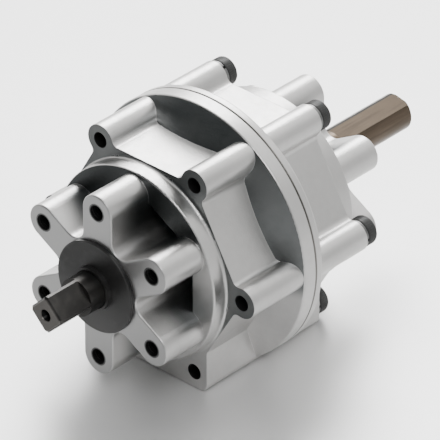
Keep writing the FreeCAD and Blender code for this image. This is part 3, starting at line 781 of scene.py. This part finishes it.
class GeometryGraph(Graph):
    """A Geometry Nodes tree with named inputs, that ends in real faces with a finish."""

    def __init__(self, name: str) -> None:
        """Makes a tree that takes geometry in and gives geometry out."""
        super().__init__(bpy.data.node_groups.new(name, "GeometryNodeTree"))
        for way in ("INPUT", "OUTPUT"):
            self.tree.interface.new_socket("Geometry", in_out=way,
                                           socket_type="NodeSocketGeometry")
        self.entry = self.tree.nodes.new("NodeGroupInput")
        self.sizes: dict[str, Any] = {}

    @property
    def given(self) -> Value:
        """The geometry that comes in."""
        return Value(self, self.entry.outputs["Geometry"])

    def size(self, name: str, value: Any) -> Value:
        """Adds a named input.

        Args:
            name: the input's name.
            value: its number; a whole number makes a whole-number input.

        Returns:
            The input's value inside the tree.
        """
        kind = "NodeSocketInt" if isinstance(value, int) else "NodeSocketFloat"
        self.tree.interface.new_socket(name, in_out="INPUT", socket_type=kind)
        self.sizes[name] = value
        return Value(self, self.entry.outputs[name])

    def turned(self, shape: Value, x: Any, y: Any) -> Value:
        """Returns a shape turned about X or Y, in radians."""
        return self.add("GeometryNodeTransform", None,
                        {"Geometry": shape, "Rotation": self.joined(x, y, 0.0)})

    def swept(self, line: Value, sides: int, radius: Value) -> Value:
        """Returns a rod along a curve, with this number of sides and this radius."""
        section = self.add("GeometryNodeCurvePrimitiveCircle", None,
                           {"Resolution": sides, "Radius": radius})
        return self.add("GeometryNodeCurveToMesh", None,
                        {"Curve": line, "Profile Curve": section, "Fill Caps": True})

    def close(self, shape: Value, material: Material) -> None:
        """Makes the instances real, sets the finish and joins the tree's output."""
        real = self.add("GeometryNodeRealizeInstances", None, {0: shape})
        done = self.add("GeometryNodeSetMaterial", None, {"Geometry": real, "Material": material})
        exit_node = self.tree.nodes.new("NodeGroupOutput")
        self.tree.links.new(done.socket, exit_node.inputs[0])

    def bake(self, name: str, source: Optional[Object] = None) -> Object:
        """Runs the tree on an object and keeps the result as a plain mesh.

        Args:
            name: name of the piece.
            source: object whose mesh goes in; without one an empty mesh does.

        Returns:
            The finished piece, at the origin, with no modifier.
        """
        if source is None:
            source = placed(name + "_source", bpy.data.meshes.new(name + "_source"))
        modifier = source.modifiers.new("repeat", "NODES")
        modifier.node_group = self.tree
        for item in self.tree.interface.items_tree:
            if item.in_out == "INPUT" and item.name in self.sizes:
                modifier[item.identifier] = self.sizes[item.name]
        bpy.context.view_layer.update()
        evaluated = source.evaluated_get(bpy.context.evaluated_depsgraph_get())
        data = bpy.data.meshes.new_from_object(evaluated)
        bpy.data.objects.remove(source)
        data.name = name
        LOG.info("made %s with %d faces", name, len(data.polygons))
        return placed(name, data)


@dataclass
class CircleOfCopies:
    """Copies of one master at even angles on a circle about the shaft, each with its own turn."""

    name: str
    count: int
    radius: float
    first_turn: float = 0.0
    loose_turn: float = 0.0
    seed: int = 4

    def build(self, master: Object, material: Material) -> Object:
        """Repeats the master.

        Args:
            master: object with one copy's mesh, its own axis along Y at the origin.
            material: finish of all copies.

        Returns:
            One piece with every copy.
        """
        graph = GeometryGraph(self.name)
        count = graph.size("Count", self.count)
        radius = graph.size("Circle radius", self.radius)
        first = graph.size("First turn", self.first_turn)
        loose = graph.size("Loose turn", self.loose_turn)
        circle = graph.add("GeometryNodeMeshCircle", None, {"Vertices": count, "Radius": radius})
        level = graph.turned(graph.turned(circle, math.pi / 2.0, 0.0), 0.0, -first)
        wander = graph.add("FunctionNodeRandomValue", {"data_type": "FLOAT"},
                           {2: -loose, 3: loose, "Seed": self.seed}, output=1)
        step = graph.add("GeometryNodeInputIndex") * -math.tau / count
        turn = graph.joined(0.0, step - first + wander, 0.0)
        copies = graph.add("GeometryNodeInstanceOnPoints", None,
                           {"Points": level, "Instance": graph.given, "Rotation": turn})
        graph.close(copies, material)
        return graph.bake(self.name, master)


@dataclass
class CoiledRing:
    """A close coil of wire bent into a closed ring about the shaft."""

    name: str
    track: float
    coil: float
    wire: float
    middle: float
    turns: int = 84
    points_a_turn: int = 9
    wire_sides: int = 6

    def build(self, material: Material) -> Object:
        """Returns the coil in the given finish."""
        graph = GeometryGraph(self.name)
        track = graph.size("Track radius", self.track)
        coil = graph.size("Coil radius", self.coil)
        wire = graph.size("Wire radius", self.wire)
        middle = graph.size("Middle", self.middle)
        turns = graph.size("Turns", self.turns)
        count = graph.size("Points", self.turns * self.points_a_turn)
        line = graph.add("GeometryNodeMeshCircle", None, {"Vertices": count, "Radius": track})
        angle = graph.add("GeometryNodeInputIndex") * math.tau / count
        roll = angle * turns
        reach = track + coil * graph.maths("COSINE", roll)
        place = graph.joined(reach * graph.maths("COSINE", angle),
                             middle + coil * graph.maths("SINE", roll),
                             reach * graph.maths("SINE", angle))
        path = graph.add("GeometryNodeSetPosition", None, {"Geometry": line, "Position": place})
        curve = graph.add("GeometryNodeMeshToCurve", None, {"Mesh": path})
        graph.close(graph.swept(curve, self.wire_sides, wire), material)
        return graph.bake(self.name)


@dataclass
class ScrewThread:
    """The ridge of an inside thread, wound along Y from its start."""

    name: str
    radius: float
    pitch: float
    length: float
    height: float = 0.4 * MM
    points_a_turn: int = 26
    ridge_sides: int = 4

    def build(self, material: Material) -> Object:
        """Returns one thread about the Y axis in the given finish."""
        graph = GeometryGraph(self.name)
        radius = graph.size("Radius", self.radius)
        length = graph.size("Length", self.length)
        turns = graph.size("Turns", self.length / self.pitch)
        height = graph.size("Ridge height", self.height)
        spiral = graph.add("GeometryNodeCurveSpiral", None,
                           {"Resolution": self.points_a_turn, "Rotations": turns,
                            "Start Radius": radius, "End Radius": radius, "Height": length})
        along = graph.turned(spiral, -math.pi / 2.0, 0.0)
        graph.close(graph.swept(along, self.ridge_sides, height), material)
        return graph.bake(self.name)


@dataclass
class Housing:
    """The two cast halves, with threads in their tapped holes and air ports.

    The rear half's threads are the front's, mirrored to its own end face.
    """

    mount_circle: float = 35.0 * MM
    mount_count: int = 6
    mount_turn: float = math.pi / 6.0
    hole_radius: float = 3.4 * MM
    thread_pitch: float = 1.25 * MM
    thread_from: float = 1.0 * MM
    thread_length: float = 15.5 * MM
    rear_face: float = 131.0 * MM
    port_x: float = 13.0 * MM
    port_y: float = 53.0 * MM
    port_radius: float = 4.35 * MM
    port_pitch: float = 0.907 * MM
    port_thread: float = 7.5 * MM
    port_ridge: float = 0.3 * MM
    port_inset: float = 0.6 * MM
    foot: float = -53.3 * MM
    nodes: ClassVar[tuple[str, ...]] = ("front_case", "rear_case")

    def build(self, finishes: Finishes) -> None:
        """Dresses the castings and winds threads into their tapped holes and ports."""
        for node in self.nodes:
            dress(node, finishes.casting)
        rear_start = self.rear_face - self.thread_from
        for end, start, way in (("front", self.thread_from, 1.0), ("rear", rear_start, -1.0)):
            thread = ScrewThread(end + "_thread", self.hole_radius, self.thread_pitch,
                                 self.thread_length)
            master = thread.build(finishes.casting)
            master.data.transform(Matrix.Translation((0.0, start, 0.0))
                                  @ Matrix.Diagonal((1.0, way, 1.0, 1.0)))
            if way < 0:
                master.data.flip_normals()
            ring = CircleOfCopies(end + "_mount_threads", self.mount_count, self.mount_circle,
                                  self.mount_turn)
            self._keep(ring.build(master, finishes.casting))
        for side, label in ((-1.0, "left"), (1.0, "right")):
            thread = ScrewThread(label + "_port_thread", self.port_radius, self.port_pitch,
                                 self.port_thread, self.port_ridge)
            piece = thread.build(finishes.casting)
            mouth = Vector((side * self.port_x, self.port_y, self.foot + self.port_inset))
            piece.data.transform(Matrix.Translation(mouth)
                                 @ Matrix.Rotation(math.pi / 2.0, 4, "X"))
            self._keep(piece)

    def _keep(self, piece: Object) -> None:
        """Makes a thread ride on the case."""
        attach(piece, Body.CASE.value)


@dataclass
class CaseFasteners:
    """Six low-head cap screws with split washers, from the rear half into the front one.

    The seat is where the washers lie on the rear half. The rises place one ridge of the thread
    within its pitch, and the gap between a washer's ends is in degrees.
    """

    circle: float = 52.5 * MM
    count: int = 6
    seat: float = 100.2 * MM
    sides: int = 48
    length: float = 60.0 * MM
    plain_length: float = 24.0 * MM
    thread_crest: float = 3.95 * MM
    thread_root: float = 3.4 * MM
    thread_pitch: float = 1.25 * MM
    ridge_rises: tuple[float, float, float] = (0.2 * MM, 0.7 * MM, 1.2 * MM)
    tip_chamfer: float = 0.6 * MM
    head_radius: float = 6.5 * MM
    head_height: float = 5.0 * MM
    head_chamfer: float = 0.2 * MM
    head_edge: float = 0.6 * MM
    head_round: float = 0.18 * MM
    socket_flats: float = 5.0 * MM
    socket_depth: float = 2.8 * MM
    knurls: int = 40
    knurl_height: float = 0.12 * MM
    knurl_root: float = 0.1 * MM
    knurl_width: float = 0.4 * MM
    knurl_ends: Span = (0.4 * MM, 0.8 * MM)
    screw_loose: float = 0.5
    washer: float = 2.0 * MM
    washer_bore: float = 4.1 * MM
    washer_radius: float = 6.3 * MM
    washer_edge: float = 0.15 * MM
    washer_play: float = 0.02 * MM
    washer_rise: float = 0.12 * MM
    washer_gap: float = 12.0
    washer_steps: int = 44
    washer_loose: float = 1.2
    washer_seed: int = 9

    def screw(self) -> Object:
        """Returns one screw about the Y axis: knurled head, hexagon socket, threaded shank."""
        under = self.seat + self.washer
        top = under + self.head_height
        tip = under - self.length
        head = self.head_radius - self.knurl_height
        crest, root, chamfer = self.thread_crest, self.thread_root, self.head_chamfer
        outline = [(0.0, tip), (root, tip), (crest, tip + self.tip_chamfer)]
        for turn in range(int((self.length - self.plain_length) / self.thread_pitch)):
            y = tip + self.tip_chamfer + turn * self.thread_pitch
            outline += [(radius, y + rise)
                        for radius, rise in zip((crest, root, crest), self.ridge_rises)]
        outline += [(crest, under), (head - chamfer, under), (head, under + chamfer),
                    (head, top - self.head_edge), (head - self.head_round, top - self.head_round),
                    (head - self.head_edge, top)]
        shape = Shape().turned(outline, self.sides)
        self._socket(shape, head - self.head_edge, top)
        start, stop = self.knurl_ends
        half = 0.5 * self.knurl_width
        for index in range(self.knurls):
            turn = Matrix.Rotation(math.tau * index / self.knurls, 4, "Y")
            shape.block(Vector((head - self.knurl_root, under + start, -half)),
                        Vector((self.head_radius, top - stop, half)), turn)
        return shape.object("case_screw_master")

    def _socket(self, shape: Shape, rim: float, top: float) -> None:
        """Adds the head's top face with its hexagon socket.

        Args:
            shape: the screw.
            rim: radius where the top face starts.
            top: height of the top face.
        """
        sixth = math.pi / 3.0
        outer, inner, floor = [], [], []
        for step in range(self.sides):
            turn = math.tau * step / self.sides
            reach = 0.5 * self.socket_flats / math.cos(turn % sixth - 0.5 * sixth)
            outer.append(shape.point(rim, top, turn))
            inner.append(shape.point(reach, top, turn))
            floor.append(shape.point(reach, top - self.socket_depth, turn))
        shape.band(outer, inner)
        shape.band(inner, floor)
        shape.mesh.faces.new(floor)

    def split_washer(self) -> Object:
        """Returns one spring washer about the Y axis, its ends a little apart and out of line."""
        shape = Shape()
        inner, outer, edge = self.washer_bore, self.washer_radius, self.washer_edge
        thickness = self.washer - 2.0 * self.washer_play - self.washer_rise
        rings = []
        for step in range(self.washer_steps + 1):
            share = step / self.washer_steps
            turn = math.radians(0.5 * self.washer_gap + (360.0 - self.washer_gap) * share)
            low = self.seat + self.washer_play + self.washer_rise * share
            high = low + thickness
            corners = [(inner, low), (outer - edge, low), (outer, low + edge),
                       (outer, high - edge), (outer - edge, high), (inner, high)]
            rings.append([shape.point(radius, y, turn) for radius, y in corners])
        for first, second in zip(rings, rings[1:]):
            shape.band(first, second)
        shape.mesh.faces.new(rings[0])
        shape.mesh.faces.new(rings[-1])
        return shape.object("split_washer_master", smooth_angle=0.4)

    def build(self, finishes: Finishes) -> None:
        """Makes the screws and washers in place of the plain ones."""
        screws = CircleOfCopies("cap_screws", self.count, self.circle,
                                loose_turn=self.screw_loose)
        piece = screws.build(self.screw(), finishes.screws)
        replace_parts(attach(piece, Body.CASE.value), "case_bolts")
        washers = CircleOfCopies("split_washers", self.count, self.circle,
                                 loose_turn=self.washer_loose, seed=self.washer_seed)
        piece = washers.build(self.split_washer(), finishes.spring)
        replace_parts(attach(piece, Body.CASE.value), "spring_washers")
        dress("case_bolts", finishes.screws)
        dress("spring_washers", finishes.spring)


@dataclass
class ShaftSealing:
    """Lip seals with their coiled springs, the joint ring and the front cap."""

    track: float = 12.3 * MM
    coil: float = 0.42 * MM
    wire: float = 0.17 * MM
    setback: float = 1.9 * MM
    seal_end: float = 21.0 * MM
    rear_face: float = 131.0 * MM
    nodes: ClassVar[tuple[str, ...]] = ("front_shaft_seal", "rear_shaft_seal", "case_o_ring")

    def build(self, finishes: Finishes) -> None:
        """Dresses the seals and the cap and winds the two springs."""
        for node in self.nodes:
            dress(node, finishes.rubber)
        dress("front_cap", finishes.cap)
        front = self.seal_end - self.setback
        for end, middle in (("front", front), ("rear", self.rear_face - front)):
            ring = CoiledRing(end + "_seal_spring", self.track, self.coil, self.wire, middle)
            piece = ring.build(finishes.spring)
            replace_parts(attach(piece, Body.CASE.value), end + "_garter_spring")
            dress(end + "_garter_spring", finishes.spring)


@dataclass
class VaneDrive:
    """The shaft with its vane, and the shoe that the vane stops against."""

    def build(self, finishes: Finishes) -> None:
        """Dresses the moving shaft and the still pieces of the chamber."""
        for node, material in (("vane_shaft", finishes.shaft), ("vane_seal", finishes.rubber),
                               ("shoe", finishes.machined), ("shoe_seal", finishes.rubber),
                               ("stop_pads", finishes.pad), ("shoe_pins", finishes.pin),
                               ("dowel_pins", finishes.pin)):
            dress(node, material)


@dataclass
class BallBearings:
    """The two ball bearings and the ring that keeps the rear one in."""

    ends: tuple[str, str] = ("front", "rear")

    def build(self, finishes: Finishes) -> None:
        """Dresses rings, balls, cages and the retaining ring."""
        for end in self.ends:
            dress(end + "_bearing_outer_ring", finishes.bearing)
            dress(end + "_bearing_inner_ring", finishes.bearing)
            dress(end + "_bearing_balls", finishes.ball)
            dress(end + "_bearing_cage", finishes.cage)
        dress("rear_retaining_ring", finishes.spring)


@dataclass(frozen=True)
class SoftLamp:
    """One soft square lamp: where it stands, the length of its side and its power in watts."""

    name: str
    place: Point
    size: float
    power: float


@dataclass
class Studio:
    """Pale floor, soft light and the camera at the photograph's angle."""

    azimuth: float = 42.398
    elevation: float = 32.311
    roll: float = 0.1
    distance: float = 2.079
    shift_right: float = 0.050143
    shift_up: float = 0.026904
    focal_pixels: float = 5077.0
    image_pixels: float = 440.0
    sensor: float = 36.0
    clip: Span = (0.1, 20.0)

    floor_height: float = -53.5 * MM
    floor_reach: float = 6.0
    floor_light: float = 0.92
    floor_metal: float = 0.52
    floor_roughness: float = 0.45
    fibre_scale: float = 60.0
    fibre_shade: float = 0.02

    back_lamp: SoftLamp = SoftLamp("back_lamp", (-0.9, 1.15, 1.2), 1.0, 34.0)
    front_lamp: SoftLamp = SoftLamp("front_lamp", (0.9, -0.75, 1.5), 0.8, 14.0)
    lamp_aim: Point = (0.0, 60.0 * MM, 0.0)

    dark: Colour = (0.056, 0.063, 0.066, 1.0)
    bright: Colour = (1.72, 1.72, 1.70, 1.0)
    back_sheet: Point = (-0.57, 0.62, 0.53)
    back_span: Span = (0.25, 0.85)
    side_sheet: Point = (0.85, 0.42, 0.30)
    side_span: Span = (0.35, 0.95)
    side_share: float = 0.50

    def _axes(self) -> tuple[Vector, Vector, Vector]:
        """Returns the camera's right, up and back directions."""
        turn, rise = math.radians(self.azimuth), math.radians(self.elevation)
        level = math.cos(rise)
        back = Vector((math.sin(turn) * level, -math.cos(turn) * level, math.sin(rise)))
        right = Vector((math.cos(turn), math.sin(turn), 0.0))
        return right, back.cross(right), back

    def camera(self) -> None:
        """Makes the scene's camera, where the photograph was taken from."""
        right, up, back = self._axes()
        data = bpy.data.cameras.new("camera")
        data.sensor_width = self.sensor
        data.lens = self.focal_pixels * self.sensor / self.image_pixels
        data.clip_start, data.clip_end = self.clip
        made = placed("camera", data)
        place = right * self.shift_right + up * self.shift_up + back * self.distance
        made.matrix_world = (Matrix.Translation(place)
                             @ Matrix((right, up, back)).transposed().to_4x4()
                             @ Matrix.Rotation(math.radians(self.roll), 4, "Z"))
        bpy.context.scene.camera = made

    def floor(self) -> None:
        """Adds the pale floor under the foot."""
        shape = Shape()
        far = self.floor_reach
        corners = [(-far, -far), (far, -far), (far, far), (-far, far)]
        shape.mesh.faces.new([shape.mesh.verts.new((x, y, self.floor_height))
                              for x, y in corners])
        plane = shape.object("floor")
        surface = SurfaceGraph("floor_paper")
        fibre = surface.noise(surface.place, self.fibre_scale, 2.0)
        paper = surface.blend(fibre, grey(self.floor_light - self.fibre_shade),
                              grey(self.floor_light))
        plane.data.materials.append(surface.finish(paper, self.floor_roughness,
                                                   self.floor_metal))

    def hang(self, lamp: SoftLamp) -> None:
        """Adds one soft lamp that faces the actuator."""
        data = bpy.data.lights.new(lamp.name, "AREA")
        data.size = lamp.size
        data.energy = lamp.power
        aim = Vector(lamp.place) - Vector(self.lamp_aim)
        turn = aim.to_track_quat("Z", "Y").to_matrix().to_4x4()
        placed(lamp.name, data).matrix_world = Matrix.Translation(lamp.place) @ turn

    def _towards(self, graph: Graph, place: Value, aim: Point) -> Value:
        """Compares a direction of the surroundings with an aim.

        Args:
            graph: the surroundings' tree.
            place: the direction.
            aim: the direction to meet.

        Returns:
            How closely they meet, up to 1.
        """
        length = math.sqrt(sum(part * part for part in aim))
        unit = tuple(part / length for part in aim)
        return graph.add("ShaderNodeVectorMath", {"operation": "DOT_PRODUCT"},
                         {0: place, 1: unit}, "Value")

    def surroundings(self) -> None:
        """Makes the surroundings, dark but for a bright sheet behind and a weaker one beside."""
        world = bpy.data.worlds.new("studio")
        world.use_nodes = True
        graph = Graph(world.node_tree)
        world.node_tree.nodes.clear()
        place = graph.add("ShaderNodeTexCoord", output="Generated")
        back = self._towards(graph, place, self.back_sheet).rising(*self.back_span)
        side = self._towards(graph, place, self.side_sheet).rising(*self.side_span)
        sheets = (back + side * self.side_share).clipped()
        light = graph.add("ShaderNodeBackground", None,
                          {"Color": graph.blend(sheets, self.dark, self.bright), "Strength": 1.0})
        graph.feed(graph.tree.nodes.new("ShaderNodeOutputWorld").inputs["Surface"], light)
        bpy.context.scene.world = world

    def build(self) -> None:
        """Sets up camera, floor, lamps and surroundings."""
        self.camera()
        self.floor()
        self.hang(self.back_lamp)
        self.hang(self.front_lamp)
        self.surroundings()


def main() -> None:
    """Builds and dresses the actuator, then the studio."""
    logging.basicConfig(level=logging.INFO, format="%(name)s: %(message)s")
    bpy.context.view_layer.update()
    finishes = Finishes()
    for part in (Housing(), CaseFasteners(), ShaftSealing(), VaneDrive(), BallBearings()):
        LOG.info("building %s", type(part).__name__)
        part.build(finishes)
    Studio().build()


if __name__ == "__main__":
    main()
